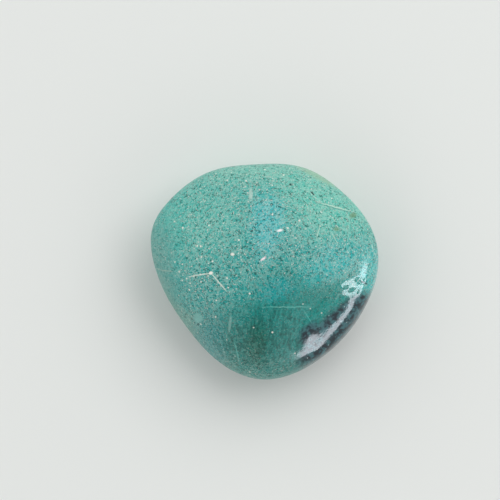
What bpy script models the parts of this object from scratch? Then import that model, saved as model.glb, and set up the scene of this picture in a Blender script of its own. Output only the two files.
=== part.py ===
"""A tumbled, polished pebble of chrysocolla, lying on the small flat spot of its underside.

The pebble is one closed solid. Seen from above it is a rounded triangle: broad at the top,
with a blunt lobe at the upper left and a narrower lower end. Its domed top meets the side in a
wide roll all the way round, apart from the lower right, where it ends in a narrow shoulder above
a steep side. The world origin is under the middle of the pebble, on the surface that it rests on.
X is right and Y is up in the view from above.
"""

import math

import bmesh
import bpy
import numpy as np
from mathutils import Vector

MM = 0.001

# Driving dimensions, in millimetres and degrees
THICKNESS = 16.0
WAIST_HEIGHT = 7.0

# The mesh: a cube with this many cuts across each face, blown round and stretched to these halves
FACE_CUTS = 25
MESH_HALF_SIZES = (16.0, 15.0, 8.0)

# The outline from above: azimuth from +X, and radius from the stone's centre line
OUTLINE = (
    (0, 15.85), (22, 15.90), (45, 15.30), (68, 15.20),
    (95, 14.65), (120, 15.65), (145, 16.45), (160, 16.75),
    (175, 15.70), (192, 14.50), (217, 13.70), (245, 14.65),
    (270, 15.50), (295, 14.95), (318, 14.70), (340, 15.10),
)

# The elevations, seen from the stone's centre, that the waist stays between
WAIST_ELEVATIONS = np.radians(np.arange(-40.0, 41.0))

# The body is a rounded form whose height above the waist differs from its depth below
ROUNDNESS = 2.3
RISE = 10.4
DROP = 7.18

# The crown is a wide dome: radius, how far its middle is off the centre line, and its height
CROWN_RADIUS = 27.0
CROWN_MIDDLE = (0.8, -0.6)
CROWN_HEIGHT = 16.2
CROWN_EDGE = 2.8

# Broad flats worn by tumbling: azimuth, elevation, distance from the centre, width of the edge.
# The first two end in the narrow shoulder at the lower right.
WORN_FLATS = (
    (-4.0, 66.0, 10.35, 1.5),
    (-50.0, 65.0, 10.25, 1.5),
    (222.0, 31.0, 12.70, 3.5),
    (52.0, 44.0, 12.65, 4.0),
    (140.0, 48.0, 12.30, 4.0),
    (20.0, -42.0, 12.60, 3.5),
    (165.0, -38.0, 13.60, 4.0),
    (262.0, -46.0, 11.80, 3.5),
)
LEAST_FACING = 0.1

# Shallow dents in the upper side, seen from above: place, spread and depth. The first one notches
# the shoulder, the second one is where the shoulder dips before the lower end.
DENTS = (
    (12.9, -2.9, 1.3, 0.38),
    (7.0, -9.9, 1.1, 0.20),
    (-4.2, 8.6, 3.0, 0.16),
    (-11.4, -2.2, 2.2, 0.14),
)

# The level spot of the underside: how softly it ends, and what counts as level
REST_SPOT_EDGE = 0.15
REST_SPOT_DEPTH = 0.002

STONE_COLOUR = (0.055, 0.300, 0.255, 1.0)
STONE_ROUGHNESS = 0.32


def closed_curve(points):
    """A smooth closed curve of radius against azimuth, through the points given in degrees."""
    knots = np.radians([azimuth for azimuth, _ in points])
    radii = np.array([radius for _, radius in points])
    gaps = np.diff(np.append(knots, knots[0] + 2.0 * math.pi))
    rises = (np.roll(radii, -1) - radii) / gaps
    count = len(points)
    system = np.zeros((count, count))
    right_side = np.zeros(count)
    for i in range(count):
        before = gaps[i - 1]
        after = gaps[i]
        system[i, i - 1] += after
        system[i, i] += 2.0 * (before + after)
        system[i, (i + 1) % count] += before
        right_side[i] = 3.0 * (after * rises[i - 1] + before * rises[i])
    slopes = np.linalg.solve(system, right_side)

    def radius_at(azimuths):
        turned = np.mod(azimuths - knots[0], 2.0 * math.pi) + knots[0]
        first = np.searchsorted(knots, turned, side="right") - 1
        second = (first + 1) % count
        gap = gaps[first]
        t = (turned - knots[first]) / gap
        return (
            (1.0 + 2.0 * t) * (1.0 - t) ** 2 * radii[first]
            + t * (1.0 - t) ** 2 * gap * slopes[first]
            + t * t * (3.0 - 2.0 * t) * radii[second]
            + t * t * (t - 1.0) * gap * slopes[second]
        )

    return radius_at


outline_radius = closed_curve(OUTLINE)


def worn(first, second, edge):
    """The nearer of two surfaces, with the edge between them rounded over the width given."""
    overlap = np.maximum(edge - np.abs(first - second), 0.0) / edge
    return np.minimum(first, second) - overlap ** 2 * edge / 4.0


def distance_to_crown(directions):
    """Distance from the stone's centre to the wide dome over it."""
    centre = np.array((*CROWN_MIDDLE, CROWN_HEIGHT - WAIST_HEIGHT - CROWN_RADIUS))
    along = directions @ centre
    return along + np.sqrt(along ** 2 + CROWN_RADIUS ** 2 - centre @ centre)


def distance_to_flat(directions, azimuth, elevation, distance):
    """Distance from the stone's centre to a plane, or far off where a direction misses it."""
    up = math.radians(elevation)
    turn = math.radians(azimuth)
    facing = np.array((math.cos(up) * math.cos(turn), math.cos(up) * math.sin(turn), math.sin(up)))
    return distance / np.maximum(directions @ facing, LEAST_FACING)


def distance_to_body(directions):
    """Distance from the stone's centre to the rounded form inside the outline."""
    azimuths = np.arctan2(directions[:, 1], directions[:, 0])
    level = np.hypot(directions[:, 0], directions[:, 1]) / outline_radius(azimuths)
    upright = np.abs(directions[:, 2]) / np.where(directions[:, 2] > 0.0, RISE, DROP)
    return (level ** ROUNDNESS + upright ** ROUNDNESS) ** (-1.0 / ROUNDNESS)


def distance_to_surface(directions):
    """Distance from the stone's centre to its surface, before the outline is trued."""
    surface = worn(distance_to_body(directions), distance_to_crown(directions), CROWN_EDGE)
    for azimuth, elevation, distance, edge in WORN_FLATS:
        flat = distance_to_flat(directions, azimuth, elevation, distance)
        surface = worn(surface, flat, edge)
    return surface


def widest_reach(azimuths):
    """How far the surface reaches from the centre line at each azimuth, at whatever height."""
    reach = np.zeros(len(azimuths))
    for elevation in WAIST_ELEVATIONS:
        level = math.cos(elevation)
        rise = np.full(len(azimuths), math.sin(elevation))
        directions = np.column_stack((level * np.cos(azimuths), level * np.sin(azimuths), rise))
        reach = np.maximum(reach, level * distance_to_surface(directions))
    return reach


def stone_points(directions):
    """The pebble's surface points, in millimetres from the middle of its waist."""
    azimuths = np.arctan2(directions[:, 1], directions[:, 0])
    points = directions * distance_to_surface(directions)[:, None]
    points[:, :2] *= (outline_radius(azimuths) / widest_reach(azimuths))[:, None]
    points[:, :2] -= (points[:, :2].max(axis=0) + points[:, :2].min(axis=0)) / 2.0
    above = points[:, 2] > 0.0
    points[above, 2] *= (THICKNESS - WAIST_HEIGHT) / points[:, 2].max()
    return points


def press_dents(points):
    """Sinks each dent towards the middle of the stone, in the upper side alone."""
    for x, y, spread, depth in DENTS:
        apart = np.hypot(points[:, 0] - x, points[:, 1] - y)
        sunk = depth * np.exp(-((apart / spread) ** 2)) * (points[:, 2] > 0.0)
        points *= (1.0 - sunk / np.linalg.norm(points, axis=1))[:, None]


def even_sphere():
    """A sphere of even quads: a cube cut into a grid and blown round."""
    form = bmesh.new()
    bmesh.ops.create_cube(form, size=2.0)
    bmesh.ops.subdivide_edges(form, edges=form.edges[:], cuts=FACE_CUTS, use_grid_fill=True)
    for vertex in form.verts:
        eased = Vector([math.tan(value * math.pi / 4.0) for value in vertex.co])
        vertex.co = eased.normalized()
    return form


def press_rest_spot(points):
    """Flattens the lowest part of the underside into one level spot, at height 0."""
    level = np.full(len(points), WAIST_HEIGHT)
    points[:, 2] = WAIST_HEIGHT - worn(-points[:, 2], level, REST_SPOT_EDGE)
    points[points[:, 2] < REST_SPOT_DEPTH, 2] = 0.0


def stone_mesh():
    form = even_sphere()
    sizes = np.array(MESH_HALF_SIZES)
    directions = np.array([vertex.co[:] for vertex in form.verts]) * sizes
    directions /= np.linalg.norm(directions, axis=1)[:, None]
    points = stone_points(directions)
    press_dents(points)
    press_rest_spot(points)
    for vertex, point in zip(form.verts, points):
        vertex.co = Vector(point) * MM
    bmesh.ops.recalc_face_normals(form, faces=form.faces[:])
    mesh = bpy.data.meshes.new("chrysocolla_stone")
    form.to_mesh(mesh)
    form.free()
    mesh.shade_smooth()
    return mesh


def polished_stone():
    """Blue-green copper silicate with a tumbled polish."""
    material = bpy.data.materials.new("polished_chrysocolla")
    material.use_nodes = True
    shader = material.node_tree.nodes["Principled BSDF"]
    shader.inputs["Base Color"].default_value = STONE_COLOUR
    shader.inputs["Roughness"].default_value = STONE_ROUGHNESS
    shader.inputs["Metallic"].default_value = 0.0
    return material


def main():
    for item in list(bpy.data.objects):
        bpy.data.objects.remove(item, do_unlink=True)
    parts = bpy.data.collections.new("tumbled_chrysocolla")
    bpy.context.scene.collection.children.link(parts)
    stone = bpy.data.objects.new("chrysocolla_stone", stone_mesh())
    stone.data.materials.append(polished_stone())
    parts.objects.link(stone)


main()
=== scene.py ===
"""A tumbled chrysocolla pebble on a pale floor, seen from straight above in soft light."""

import math

import bpy
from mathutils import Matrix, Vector


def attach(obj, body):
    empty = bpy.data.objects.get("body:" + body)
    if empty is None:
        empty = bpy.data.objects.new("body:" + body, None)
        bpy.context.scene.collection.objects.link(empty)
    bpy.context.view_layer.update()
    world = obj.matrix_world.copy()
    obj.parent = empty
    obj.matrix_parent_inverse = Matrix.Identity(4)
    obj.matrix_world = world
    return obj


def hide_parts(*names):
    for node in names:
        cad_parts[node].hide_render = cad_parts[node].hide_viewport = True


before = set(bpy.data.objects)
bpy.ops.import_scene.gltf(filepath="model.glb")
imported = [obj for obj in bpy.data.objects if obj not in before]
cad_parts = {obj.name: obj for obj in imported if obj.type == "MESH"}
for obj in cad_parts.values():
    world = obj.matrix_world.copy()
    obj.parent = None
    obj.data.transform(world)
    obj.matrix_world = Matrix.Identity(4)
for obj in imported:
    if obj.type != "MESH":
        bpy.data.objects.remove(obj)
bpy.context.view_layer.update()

MM = 0.001

# The picture: its side in pixels, the size of a pixel at the stone's waist, and the pixel that
# the middle of the stone stands at
PICTURE_SIDE = 500
PIXEL = 0.14 * MM
STONE_PIXEL = (264.5, 271.5)
WAIST = 7.0 * MM
CAMERA_DISTANCE = 380.0 * MM
SENSOR = 36.0

# The room's light and its dark ceiling's, the way to the ceiling's middle, and the cosines
# between which the room darkens towards it
ROOM_LIGHT = 1.02
CEILING_LIGHT = 0.03
CEILING_SIDE = (0.10, -0.34, 0.935)
CEILING_REACH = (0.78, 0.92)


def linear(red, green, blue):
    """A colour of the picture, in bytes, as linear light."""
    shares = [value / 255.0 for value in (red, green, blue)]
    return tuple(
        share / 12.92 if share <= 0.04045 else ((share + 0.055) / 1.055) ** 2.4
        for share in shares
    )


def opaque(red, green, blue):
    return (*linear(red, green, blue), 1.0)


# The pebble's shape

# The skin's unevenness spares the flat underneath, up to this height in millimetres
REST_FLAT_HEIGHT = 0.7

# Each texture of the worn skin: its name, grain and full depth in millimetres
WORN_SKIN = (("slow_wear", 3.6, 0.34), ("fine_wear", 0.9, 0.05))
WEAR_DETAIL = 2

# Points of the copied mesh this near each other, in millimetres, are one point, and triangles
# that meet within these angles, in degrees, are joined to quads before the mesh is made finer
MERGE_DISTANCE = 0.001
QUAD_FACE_ANGLE = 40
QUAD_SHAPE_ANGLE = 60
FINENESS = 2

# Dents in the top: start, end, depth and reach in millimetres. The points pushed in are those
# this near the line and facing up at least this much.
DENT_CORE = 0.17
TOP_FACING = 0.2
DENTS = (
    ((13.0, -1.2), (14.5, -1.8), 0.16, 0.5),
    ((11.1, -1.9), (13.0, -1.3), 0.08, 0.6),
    ((9.6, -3.9), (12.6, -2.6), 0.07, 0.8),
    ((2.0, 5.7), (2.3, 5.8), 0.05, 0.45),
    ((-0.5, 1.65), (0.0, 1.95), 0.06, 0.5),
    ((-1.75, 5.6), (-1.75, 5.6), 0.09, 0.35),
    ((3.55, 12.05), (3.55, 12.05), 0.09, 0.35),
    ((6.5, 11.0), (6.8, 10.7), 0.1, 0.4),
    ((-13.2, 10.2), (-12.9, 10.4), 0.1, 0.45),
)


def select_only(piece):
    bpy.ops.object.select_all(action="DESELECT")
    piece.select_set(True)
    bpy.context.view_layer.objects.active = piece


def apply_modifier(piece, kind, **settings):
    select_only(piece)
    bpy.ops.object.modifier_add(type=kind)
    modifier = piece.modifiers[-1]
    for name, value in settings.items():
        setattr(modifier, name, value)
    bpy.ops.object.modifier_apply(modifier=modifier.name)


def select_points(pebble, chosen):
    """Leaves the pebble in edit mode with only the points that the test chooses selected."""
    select_only(pebble)
    bpy.ops.object.mode_set(mode="EDIT")
    bpy.ops.mesh.select_mode(type="VERT")
    bpy.ops.mesh.select_all(action="DESELECT")
    bpy.ops.object.mode_set(mode="OBJECT")
    for vertex in pebble.data.vertices:
        vertex.select = chosen(vertex)
    bpy.ops.object.mode_set(mode="EDIT")


def worn_skin(pebble):
    """The slow and the fine unevenness of a tumbled skin, which spares the flat underneath."""
    select_points(pebble, lambda vertex: vertex.co.z > REST_FLAT_HEIGHT)
    bpy.ops.object.vertex_group_add()
    bpy.ops.object.vertex_group_assign()
    bpy.ops.object.mode_set(mode="OBJECT")
    for name, grain, depth in WORN_SKIN:
        texture = bpy.data.textures.new(name, "CLOUDS")
        texture.noise_scale = grain * MM
        texture.noise_depth = WEAR_DETAIL
        apply_modifier(
            pebble, "DISPLACE", texture=texture, texture_coords="LOCAL", mid_level=0.5,
            strength=depth * MM, vertex_group=pebble.vertex_groups[0].name,
        )
    pebble.vertex_groups.clear()


def press_in(pebble, start, end, depth, reach):
    """Pushes the top's skin down along a short line, with a smooth edge."""
    first = Vector(start) * MM
    line = Vector(end) * MM - first

    def on_line(vertex):
        offset = vertex.co.xy - first
        share = 0.0 if line.length == 0.0 else offset.dot(line) / line.length_squared
        nearest = line * min(max(share, 0.0), 1.0)
        return vertex.normal.z > TOP_FACING and (offset - nearest).length < DENT_CORE * MM

    select_points(pebble, on_line)
    bpy.ops.transform.translate(
        value=(0.0, 0.0, -depth * MM), use_proportional_edit=True,
        proportional_edit_falloff="SMOOTH", proportional_size=reach * MM,
    )
    bpy.ops.object.mode_set(mode="OBJECT")


def pebble_form():
    """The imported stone's own surface, as clean quads made fine enough for its relief."""
    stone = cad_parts["chrysocolla_stone"]
    pebble = bpy.data.objects.new("tumbled_pebble", stone.data.copy())
    bpy.context.scene.collection.objects.link(pebble)
    select_only(pebble)
    bpy.ops.object.mode_set(mode="EDIT")
    bpy.ops.mesh.select_all(action="SELECT")
    bpy.ops.mesh.remove_doubles(threshold=MERGE_DISTANCE * MM)
    bpy.ops.mesh.tris_convert_to_quads(
        face_threshold=math.radians(QUAD_FACE_ANGLE),
        shape_threshold=math.radians(QUAD_SHAPE_ANGLE),
    )
    bpy.ops.object.mode_set(mode="OBJECT")
    apply_modifier(pebble, "SUBSURF", levels=FINENESS, render_levels=FINENESS)
    worn_skin(pebble)
    for start, end, depth, reach in DENTS:
        press_in(pebble, start, end, depth, reach)
    pebble.data.shade_smooth()
    return pebble


# Light, floor and camera

# Each light: its side and height in degrees, distance, width and height in metres, and radiance
SOFT_LIGHT = (45, 52, 0.9, 0.80, 0.60, 1.65)
WINDOW_LIGHT = (-30, 22, 0.9, 1.00, 0.18, 11.0)
WINDOW_COLOUR = (0.86, 0.93, 1.0)

# The floor's side in metres, colour in linear light, roughness and shine
FLOOR_SIZE = 6.0
FLOOR_COLOUR = (0.80, 0.82, 0.80, 1.0)
FLOOR_ROUGHNESS = 0.9
FLOOR_SHINE = 0.1


def towards(azimuth, elevation, distance):
    turn = math.radians(azimuth)
    rise = math.radians(elevation)
    level = math.cos(rise)
    return Vector((level * math.cos(turn), level * math.sin(turn), math.sin(rise))) * distance


def soft_light(name, azimuth, elevation, distance, width, height, radiance, colour=(1.0, 1.0, 1.0)):
    """A flat light of the width and height given, facing the stone."""
    lamp = bpy.data.lights.new(name, "AREA")
    lamp.shape = "RECTANGLE"
    lamp.size = width
    lamp.size_y = height
    lamp.energy = radiance * math.pi * width * height
    lamp.color = colour
    light = bpy.data.objects.new(name, lamp)
    bpy.context.scene.collection.objects.link(light)
    place = towards(azimuth, elevation, distance)
    light.location = place
    light.rotation_euler = place.to_track_quat("Z", "Y").to_euler()
    light.visible_camera = False
    return light


def light_the_stone():
    """A broad soft light that isn't mirrored, and the window that is seen in the polish."""
    broad = soft_light("soft_upper_right", *SOFT_LIGHT)
    broad.visible_glossy = False
    window = soft_light("window_lower_right", *WINDOW_LIGHT, WINDOW_COLOUR)
    window.visible_diffuse = False


def pale_room():
    """Even light from all around, under a small dark ceiling."""
    world = bpy.data.worlds.new("pale_room")
    bpy.context.scene.world = world
    world.use_nodes = True
    nodes = world.node_tree.nodes
    links = world.node_tree.links
    direction = nodes.new("ShaderNodeTexCoord").outputs["Generated"]
    ceiling_side = nodes.new("ShaderNodeVectorMath")
    ceiling_side.operation = "DOT_PRODUCT"
    links.new(direction, ceiling_side.inputs[0])
    ceiling_side.inputs[1].default_value = CEILING_SIDE
    strength = nodes.new("ShaderNodeMapRange")
    strength.interpolation_type = "SMOOTHSTEP"
    links.new(ceiling_side.outputs["Value"], strength.inputs["Value"])
    strength.inputs["From Min"].default_value = CEILING_REACH[0]
    strength.inputs["From Max"].default_value = CEILING_REACH[1]
    strength.inputs["To Min"].default_value = ROOM_LIGHT
    strength.inputs["To Max"].default_value = CEILING_LIGHT
    links.new(strength.outputs["Result"], nodes["Background"].inputs["Strength"])
    nodes["Background"].inputs["Color"].default_value = (1.0, 1.0, 1.0, 1.0)


def pale_floor():
    bpy.ops.object.select_all(action="DESELECT")
    bpy.ops.mesh.primitive_plane_add(size=FLOOR_SIZE, location=(0.0, 0.0, 0.0))
    floor = bpy.context.active_object
    floor.name = "paper_floor"
    material = bpy.data.materials.new("pale_floor")
    material.use_nodes = True
    shader = material.node_tree.nodes["Principled BSDF"]
    shader.inputs["Base Color"].default_value = FLOOR_COLOUR
    shader.inputs["Roughness"].default_value = FLOOR_ROUGHNESS
    shader.inputs["Specular IOR Level"].default_value = FLOOR_SHINE
    floor.data.materials.append(material)


def overhead_camera():
    data = bpy.data.cameras.new("overhead")
    data.sensor_width = SENSOR
    data.lens = SENSOR * CAMERA_DISTANCE / (PICTURE_SIDE * PIXEL)
    camera = bpy.data.objects.new("overhead", data)
    bpy.context.scene.collection.objects.link(camera)
    camera.location = (
        (PICTURE_SIDE / 2 - STONE_PIXEL[0]) * PIXEL,
        (STONE_PIXEL[1] - PICTURE_SIDE / 2) * PIXEL,
        WAIST + CAMERA_DISTANCE,
    )
    bpy.context.scene.camera = camera


# The pebble's finish

# Lengths are in millimetres on the stone, turns in degrees about the upright, and colours in
# bytes. A speck is solid over this share of its size, and fades out beyond it.
SPECK_CORE = 0.4


class Finish:
    """The nodes of one material. Each method adds a node or two and gives back its output."""

    def __init__(self, name):
        self.material = bpy.data.materials.new(name)
        self.material.use_nodes = True
        self.nodes = self.material.node_tree.nodes
        self.links = self.material.node_tree.links
        self.shader = self.nodes["Principled BSDF"]
        coordinates = self.nodes.new("ShaderNodeTexCoord")
        self.place = self.node(
            "ShaderNodeMapping", {"Vector": coordinates.outputs["Object"], "Scale": (1 / MM,) * 3}
        )

    def node(self, kind, inputs, output=0, **settings):
        made = self.nodes.new(kind)
        for name, value in settings.items():
            setattr(made, name, value)
        for name, value in inputs.items():
            if isinstance(value, bpy.types.NodeSocket):
                self.links.new(value, made.inputs[name])
            else:
                made.inputs[name].default_value = value
        return made.outputs[output]

    def math(self, operation, first, second=0.0, third=0.0):
        return self.node(
            "ShaderNodeMath", {0: first, 1: second, 2: third}, operation=operation
        )

    def ramp(self, value, low, high, start=0.0, end=1.0):
        """Goes smoothly from start to end as the value goes from low to high."""
        return self.node(
            "ShaderNodeMapRange",
            {"Value": value, "From Min": low, "From Max": high, "To Min": start, "To Max": end},
            interpolation_type="SMOOTHSTEP",
        )

    def mix(self, share, first, second, blend="MIX"):
        """Mixes two colours. A Mix node's colours are its sockets 6 and 7, and output 2."""
        made = self.nodes.new("ShaderNodeMix")
        made.data_type = "RGBA"
        made.blend_type = blend
        sockets = (made.inputs[0], made.inputs[6], made.inputs[7])
        for socket, value in zip(sockets, (share, first, second)):
            if isinstance(value, bpy.types.NodeSocket):
                self.links.new(value, socket)
            else:
                socket.default_value = value
        return made.outputs[2]

    def noise(self, place, grain, detail=2.0, roughness=0.5, distortion=0.0, shift=0.0, output=0):
        return self.node(
            "ShaderNodeTexNoise",
            {
                "Vector": place, "W": shift, "Scale": 1.0 / grain, "Detail": detail,
                "Roughness": roughness, "Distortion": distortion,
            },
            output=output,
            noise_dimensions="4D",
        )

    def shifted(self, place, amount, grain, shift=0.0):
        """The place, moved about by up to half the amount, so that what is drawn there wanders."""
        wander = self.noise(place, grain, shift=shift, output="Color")
        centred = self.node(
            "ShaderNodeVectorMath", {0: wander, 1: (0.5, 0.5, 0.5)}, operation="SUBTRACT"
        )
        return self.node(
            "ShaderNodeVectorMath", {0: centred, 1: (amount,) * 3, 2: place}, operation="MULTIPLY_ADD"
        )

    def turned(self, place, centre, sizes, turn=0.0):
        """The place as seen from a centre, turned about Z and divided by the sizes."""
        return self.node(
            "ShaderNodeMapping",
            {
                "Vector": place, "Location": centre, "Rotation": (0.0, 0.0, math.radians(turn)),
                "Scale": sizes,
            },
            vector_type="TEXTURE",
        )

    def patch(self, place, centre, sizes, turn=0.0, edge=0.5):
        """1 inside an ellipsoid and 0 outside it, with a soft edge as a share of its size."""
        reach = self.node(
            "ShaderNodeVectorMath",
            {0: self.turned(place, centre, sizes, turn)},
            output="Value",
            operation="LENGTH",
        )
        return self.ramp(reach, 1.0 + edge, 1.0 - edge)

    def fibres(self, place, grain, width, shift, stretch=(1.0, 1.0, 1.0), turn=0.0, wander=0.6):
        """Thin curved lines, where slow noise passes through its middle value."""
        laid = self.turned(place, (0.0, 0.0, 0.0), stretch, turn)
        field = self.noise(laid, grain, detail=1.0, distortion=wander, shift=shift)
        apart = self.math("ABSOLUTE", self.math("SUBTRACT", field, 0.5))
        return self.ramp(apart, width, 0.0)

    def specks(self, place, grain, size, share, shift):
        """Round specks, in a share of the cells of a loose grid."""
        made = self.nodes.new("ShaderNodeTexVoronoi")
        made.voronoi_dimensions = "4D"
        self.links.new(place, made.inputs["Vector"])
        made.inputs["W"].default_value = shift
        made.inputs["Scale"].default_value = 1.0 / grain
        chance = self.node("ShaderNodeSeparateColor", {"Color": made.outputs["Color"]})
        kept = self.math("LESS_THAN", chance, share)
        dot = self.ramp(made.outputs["Distance"], size / grain, SPECK_CORE * size / grain)
        return self.math("MULTIPLY", kept, dot)


BODY = (34, 156, 151)

# Centre, half sizes, turn, edge, strength and colour of each patch, the widest first. Some of them
# are partly painted light: sheen on the upper half, lighter top and right rims, and grey painted
# reflection and shade on the left rim
COLOUR_AND_PAINTED_LIGHT_PATCHES = (
    # Upper left: paler green, partly painted sheen
    ((-8.5, 8.0, 6.0), (9.0, 8.0, 12.0), 0.0, 0.5, 1.0, (62, 172, 161)),
    # Upper right: pale sage, partly painted sheen of the soft light
    ((9.0, 10.0, 6.0), (8.5, 6.5, 12.0), 0.0, 0.5, 1.0, (86, 184, 168)),
    # Left rim, these two: grey painted reflection and painted shade where the rim turns away from the
    # lights
    ((-15.5, 0.0, 5.0), (3.2, 9.0, 12.0), 8.0, 0.6, 1.0, (90, 156, 149)),
    ((-11.5, -8.0, 4.0), (2.6, 7.0, 12.0), 38.0, 0.6, 0.9, (84, 148, 136)),
    # Top rim: pale, partly painted sheen of the soft light
    ((0.0, 14.5, 6.0), (9.0, 2.6, 12.0), 0.0, 0.6, 0.9, (100, 182, 166)),
    ((0.0, -9.5, 7.0), (9.5, 6.5, 12.0), 0.0, 0.5, 1.0, (2, 122, 114)),
    ((5.5, -3.0, 9.0), (6.5, 4.0, 12.0), 0.0, 0.5, 1.0, (2, 132, 124)),
    ((-7.4, -9.5, 6.0), (2.4, 4.4, 12.0), 0.0, 0.6, 0.9, (14, 138, 138)),
    ((9.0, 1.2, 12.0), (4.6, 1.9, 12.0), 26.0, 0.6, 1.0, (2, 166, 164)),
    ((1.7, -2.4, 14.0), (2.2, 1.6, 12.0), 0.0, 0.6, 0.9, (4, 152, 152)),
    ((0.2, 6.2, 16.0), (1.9, 4.2, 12.0), 0.0, 0.6, 0.9, (54, 178, 182)),
    # Right rim: brighter teal, partly painted light where it faces the lights
    ((14.8, -0.5, 8.0), (1.6, 3.4, 12.0), 0.0, 0.5, 0.9, (48, 182, 180)),
    ((-1.2, -9.6, 10.0), (1.5, 2.8, 12.0), 0.0, 0.6, 0.8, (0, 100, 86)),
)

# How far the patches wander, and the grain of their wandering
DRIFT = (3.0, 2.6)

# Zones of the finish: centre, half sizes, turn and edge
DEEP_GREEN = ((4.0, -7.0, 8.0), (11.5, 7.0, 14.0), 0.0, 0.4)
LEFT_RIM = ((-15.0, 0.0, 6.0), (4.0, 12.0, 14.0), 0.0, 0.5)
STREAKED = ((0.5, -9.0, 10.0), (7.0, 4.5, 14.0), 0.0, 0.4)
SPECKLED = ((-7.5, 1.5, 12.0), (4.5, 6.0, 14.0), 0.0, 0.5)
POLISHED = ((10.6, -5.4, 8.0), (10.0, 3.6, 14.0), 46.0, 0.3)

# The black matrix patch on the lower right shoulder: centre, half sizes, turn and edge
MATRIX_PATCHES = (
    ((9.6, -8.0, 7.0), (7.3, 2.5, 12.0), 44.0, 0.2),
    ((6.3, -8.6, 9.0), (2.0, 1.4, 12.0), 55.0, 0.35),
    ((13.0, -4.6, 8.0), (1.9, 1.5, 12.0), 30.0, 0.3),
)

# Marks that stand at one place on the top: centre and half sizes in millimetres, turn, strength
# and colour. The thin ones are cracks and veins. The first is a painted sheen along the upper
# right rim.
TOP_MARKS_AND_RIM_SHEEN = (
    # A pale line along the upper right rim: painted sheen
    ((7.8, 13.2), (3.6, 0.55), -27.0, 0.55, (150, 182, 150)),
    ((12.25, 7.8), (0.55, 0.35), 20.0, 0.7, (96, 134, 92)),
    ((9.9, 5.9), (0.4, 0.28), 0.0, 0.6, (96, 136, 96)),
    ((-9.2, -6.4), (0.6, 0.62), 0.0, 0.75, (124, 184, 176)),
    ((-9.2, -7.25), (0.14, 0.14), 0.0, 0.9, (10, 70, 70)),
    ((-4.8, -7.2), (0.2, 1.1), -8.0, 0.55, (140, 186, 178)),
    ((-1.9, 10.7), (0.26, 0.8), 0.0, 0.7, (180, 208, 198)),
    ((9.9, 8.75), (2.5, 0.09), -15.0, 0.5, (20, 110, 100)),
    ((9.9, 8.95), (2.5, 0.09), -15.0, 0.8, (182, 212, 196)),
    ((7.35, 5.5), (1.1, 0.08), 75.0, 0.7, (170, 210, 192)),
    ((9.65, 4.6), (1.05, 0.08), -62.0, 0.7, (170, 210, 192)),
    ((15.05, 3.15), (0.9, 0.07), -72.0, 0.6, (180, 220, 210)),
    ((6.3, -6.8), (1.8, 0.07), -59.0, 0.6, (90, 190, 180)),
    ((-3.85, -11.0), (1.75, 0.08), -75.0, 0.65, (96, 180, 170)),
    ((3.0, -4.8), (3.4, 0.08), 0.0, 0.5, (120, 200, 188)),
    ((-13.9, 0.2), (1.4, 0.08), -8.0, 0.6, (160, 180, 168)),
    ((-6.3, -1.4), (1.7, 0.09), -49.0, 0.8, (216, 226, 214)),
    ((-8.9, -0.4), (1.6, 0.09), 9.0, 0.8, (216, 226, 214)),
    ((-7.4, -0.15), (0.26, 0.22), 0.0, 1.0, (236, 236, 226)),
    ((2.05, 5.7), (0.42, 0.17), 15.0, 1.0, (240, 236, 236)),
    ((-0.25, 1.8), (0.5, 0.16), 32.0, 1.0, (238, 226, 230)),
    ((-4.4, 2.4), (0.24, 0.2), 0.0, 0.9, (232, 232, 222)),
    ((-1.75, 5.6), (0.17, 0.13), 20.0, 1.0, (4, 50, 52)),
    ((3.55, 12.05), (0.15, 0.15), 0.0, 1.0, (10, 60, 58)),
    ((6.65, 10.85), (0.36, 0.11), -45.0, 1.0, (14, 66, 60)),
    ((-13.1, 10.3), (0.32, 0.18), 40.0, 0.9, (16, 62, 56)),
    ((13.75, -1.5), (0.55, 0.13), -25.0, 0.9, (4, 60, 66)),
)

# The height of the marks' middles, how far they reach down from it, their soft edge, and how they
# wander: amount, grain and shift
MARK_HEIGHT = 12.0
MARK_DEPTH = 10.0
MARK_EDGE = 0.45
MARK_WANDER = (0.3, 0.7, 13.0)

# The small dark pits: grain, range of the noise that they come in, and tint
PIT_GRAIN = 0.28
PIT_RANGE = (0.51, 0.38)
PIT_TINT = (40, 160, 158)

# Darker blotches under the fibres: grain, range, strength and tint
BLOTCH_GRAIN = 0.9
BLOTCH_RANGE = (0.5, 0.62)
BLOTCH_STRENGTH = 0.4
BLOTCH_TINT = (120, 235, 235)

# The felted fibres: grain, line width, strength, paleness and colour, and the stretch, turn and
# shift of each set of them
FELT_GRAIN = 0.55
FELT_WIDTH = 0.045
FELT_STRENGTH = 0.62
FELT_PALENESS = 0.5
FELT_COLOUR = (196, 222, 208)
FELT_SETS = (
    ((1.0, 2.3, 1.0), 20.0, 1.3),
    ((1.0, 2.3, 1.0), -40.0, 5.1),
    ((2.3, 1.0, 1.0), 5.0, 8.1),
)

# The pale tips between the fibres: grain, range, strength and colour
TIP_GRAIN = 0.2
TIP_RANGE = (0.60, 0.70)
TIP_STRENGTH = 0.75
TIP_COLOUR = (214, 206, 198)

# How much fibres and pits fade in the deep green, and both on the left rim
FIBRES_FADE = 0.82
PITS_FADE = 0.45
RIM_FADE = 0.5

# Dark green upright streaks low on the top: stretch, turn, grain, range, strength and tint
STREAK_STRETCH = (1.0, 7.0, 1.0)
STREAK_TURN = -4.0
STREAK_GRAIN = 0.42
STREAK_RANGE = (0.46, 0.60)
STREAK_STRENGTH = 0.7
STREAK_TINT = (60, 190, 186)

# White specks: grain, size, their share of the grains everywhere and beyond that in the speckled
# zone, strength and colour
SPECK_GRAIN = 0.52
SPECK_SIZE = 0.19
SPECK_SHARE = 0.07
SPECK_SHARE_DENSE = 0.42
SPECK_STRENGTH = 0.9
SPECK_COLOUR = (230, 228, 216)

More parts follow.
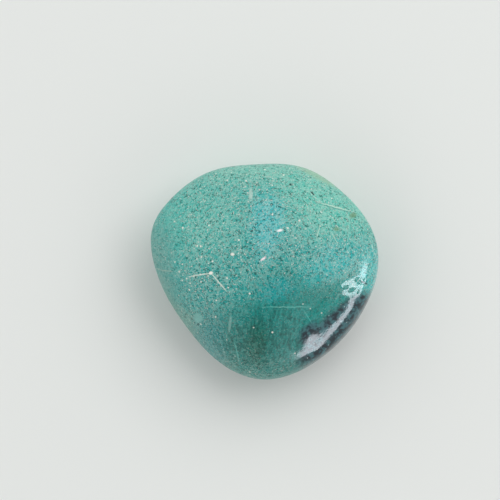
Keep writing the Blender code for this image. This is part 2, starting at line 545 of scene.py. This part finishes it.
# The black matrix: how its edge wanders, coarse and fine, its two colours and their clouds, and
# the bright specks in it
MATRIX_WANDER = (1.1, 0.8, 7.0)
MATRIX_FRAY = (0.6, 0.22, 9.0)
MATRIX_DARK = (6, 34, 44)
MATRIX_LIGHT = (56, 104, 110)
CLOUD_GRAIN = 0.7
CLOUD_RANGE = (0.42, 0.62)
SPARK_GRAIN = 0.42
SPARK_SIZE = 0.13
SPARK_SHARE = 0.25
SPARK_STRENGTH = 0.75
SPARK_COLOUR = (196, 212, 212)

# The polish: how rough it is, and the strength and height of the skin's finest unevenness
SATIN_ROUGHNESS = 0.42
GLOSSY_ROUGHNESS = 0.09
STONE_IOR = 1.46
SKIN_BUMP_STRENGTH = 0.35
SKIN_BUMP_DEPTH = 0.03


def painted(finish, colour, place, patches):
    """The colour with patches of other colours laid over it."""
    for centre, sizes, turn, edge, share, shade in patches:
        mask = finish.patch(place, centre, sizes, turn, edge)
        colour = finish.mix(finish.math("MULTIPLY", mask, share), colour, opaque(*shade))
    return colour


def tinted(finish, share, colour, tint):
    """The colour, multiplied by a tint over a share of it."""
    return finish.mix(share, colour, finish.mix(1.0, colour, opaque(*tint), "MULTIPLY"))


def pitted(finish, colour, fine, strength):
    pits = finish.ramp(fine, *PIT_RANGE)
    return tinted(finish, finish.math("MULTIPLY", pits, strength), colour, PIT_TINT)


def blotched(finish, colour, place):
    field = finish.noise(place, BLOTCH_GRAIN, detail=1.0, shift=5.0)
    blotches = finish.ramp(field, *BLOTCH_RANGE, 0.0, BLOTCH_STRENGTH)
    return tinted(finish, blotches, colour, BLOTCH_TINT)


def felted(finish, colour, place, body, strength):
    """Pale fibres in several directions, and pale tips between them."""
    felt = 0.0
    for stretch, turn, shift in FELT_SETS:
        lines = finish.fibres(place, FELT_GRAIN, FELT_WIDTH, shift, stretch, turn)
        felt = finish.math("MAXIMUM", felt, lines)
    pale = finish.mix(FELT_PALENESS, body, opaque(*FELT_COLOUR))
    light = finish.math("MULTIPLY", finish.math("MULTIPLY", felt, FELT_STRENGTH), strength)
    colour = finish.mix(light, colour, pale)
    tips = finish.ramp(finish.noise(place, TIP_GRAIN, detail=1.0, shift=11.0), *TIP_RANGE)
    tips = finish.math("MULTIPLY", finish.math("MULTIPLY", tips, TIP_STRENGTH), strength)
    return finish.mix(tips, colour, opaque(*TIP_COLOUR))


def streaked(finish, colour, place, drift):
    lower = finish.patch(drift, *STREAKED)
    laid = finish.turned(place, (0.0, 0.0, 0.0), STREAK_STRETCH, STREAK_TURN)
    field = finish.noise(laid, STREAK_GRAIN, detail=1.0, shift=14.0)
    streaks = finish.math("MULTIPLY", finish.ramp(field, *STREAK_RANGE), lower)
    return tinted(finish, finish.math("MULTIPLY", streaks, STREAK_STRENGTH), colour, STREAK_TINT)


def speckled(finish, colour, place, drift):
    dense = finish.patch(drift, *SPECKLED)
    share = finish.math("MULTIPLY_ADD", dense, SPECK_SHARE_DENSE, SPECK_SHARE)
    specks = finish.specks(place, SPECK_GRAIN, SPECK_SIZE, share, shift=2.0)
    specks = finish.math("MULTIPLY", specks, SPECK_STRENGTH)
    return finish.mix(specks, colour, opaque(*SPECK_COLOUR))


def marked(finish, colour, place):
    """The chips, holes, stains, cracks and veins that stand at one place, and a painted sheen along
    the upper right rim.
    """
    marks = [
        ((*centre, MARK_HEIGHT), (*sizes, MARK_DEPTH), turn, MARK_EDGE, share, shade)
        for centre, sizes, turn, share, shade in TOP_MARKS_AND_RIM_SHEEN
    ]
    return painted(finish, colour, finish.shifted(place, *MARK_WANDER), marks)


def matrix_patch(finish, place):
    """1 in the black matrix and 0 outside it, with a ragged edge."""
    ragged = finish.shifted(finish.shifted(place, *MATRIX_WANDER), *MATRIX_FRAY)
    mask = 0.0
    for centre, sizes, turn, edge in MATRIX_PATCHES:
        mask = finish.math("MAXIMUM", mask, finish.patch(ragged, centre, sizes, turn, edge))
    return mask


def with_matrix(finish, colour, place, matrix):
    cloud = finish.noise(place, CLOUD_GRAIN, detail=3.0, roughness=0.65, shift=4.0)
    black = finish.mix(
        finish.ramp(cloud, *CLOUD_RANGE), opaque(*MATRIX_DARK), opaque(*MATRIX_LIGHT)
    )
    colour = finish.mix(matrix, colour, black)
    sparks = finish.specks(place, SPARK_GRAIN, SPARK_SIZE, SPARK_SHARE, shift=6.0)
    sparks = finish.math("MULTIPLY", finish.math("MULTIPLY", sparks, matrix), SPARK_STRENGTH)
    return finish.mix(sparks, colour, opaque(*SPARK_COLOUR))


def faded(finish, deep, deep_fade, rim_fade):
    """How strong a pattern is where it fades in the deep green and on the left rim."""
    fade = finish.math("MAXIMUM", finish.math("MULTIPLY", deep, deep_fade), rim_fade)
    return finish.math("SUBTRACT", 1.0, fade)


def chrysocolla_finish():
    finish = Finish("polished_chrysocolla")
    place = finish.place
    drift = finish.shifted(place, *DRIFT)
    deep = finish.patch(drift, *DEEP_GREEN)
    rim_fade = finish.math("MULTIPLY", finish.patch(drift, *LEFT_RIM), RIM_FADE)
    fine = finish.noise(place, PIT_GRAIN, detail=1.5, roughness=0.65, shift=3.0)
    matrix = matrix_patch(finish, place)

    # The body colour, with its patches of painted sheen, light, reflection and shade laid over it
    body = painted(finish, opaque(*BODY), drift, COLOUR_AND_PAINTED_LIGHT_PATCHES)
    colour = pitted(finish, body, fine, faded(finish, deep, PITS_FADE, rim_fade))
    colour = blotched(finish, colour, place)
    colour = felted(finish, colour, place, body, faded(finish, deep, FIBRES_FADE, rim_fade))
    colour = streaked(finish, colour, place, drift)
    colour = speckled(finish, colour, place, drift)
    colour = marked(finish, colour, place)
    colour = with_matrix(finish, colour, place, matrix)
    finish.links.new(colour, finish.shader.inputs["Base Color"])

    glossy = finish.math("MAXIMUM", finish.patch(drift, *POLISHED), matrix)
    roughness = finish.ramp(glossy, 0.0, 1.0, SATIN_ROUGHNESS, GLOSSY_ROUGHNESS)
    finish.links.new(roughness, finish.shader.inputs["Roughness"])
    finish.shader.inputs["IOR"].default_value = STONE_IOR
    bump = finish.node(
        "ShaderNodeBump",
        {"Height": fine, "Strength": SKIN_BUMP_STRENGTH, "Distance": SKIN_BUMP_DEPTH * MM},
    )
    finish.links.new(bump, finish.shader.inputs["Normal"])
    return finish.material


pebble = pebble_form()
pebble.data.materials.clear()
pebble.data.materials.append(chrysocolla_finish())
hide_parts("chrysocolla_stone")
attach(pebble, "root")

pale_floor()
pale_room()
light_the_stone()
overhead_camera()
bpy.context.scene.view_settings.view_transform = "Standard"
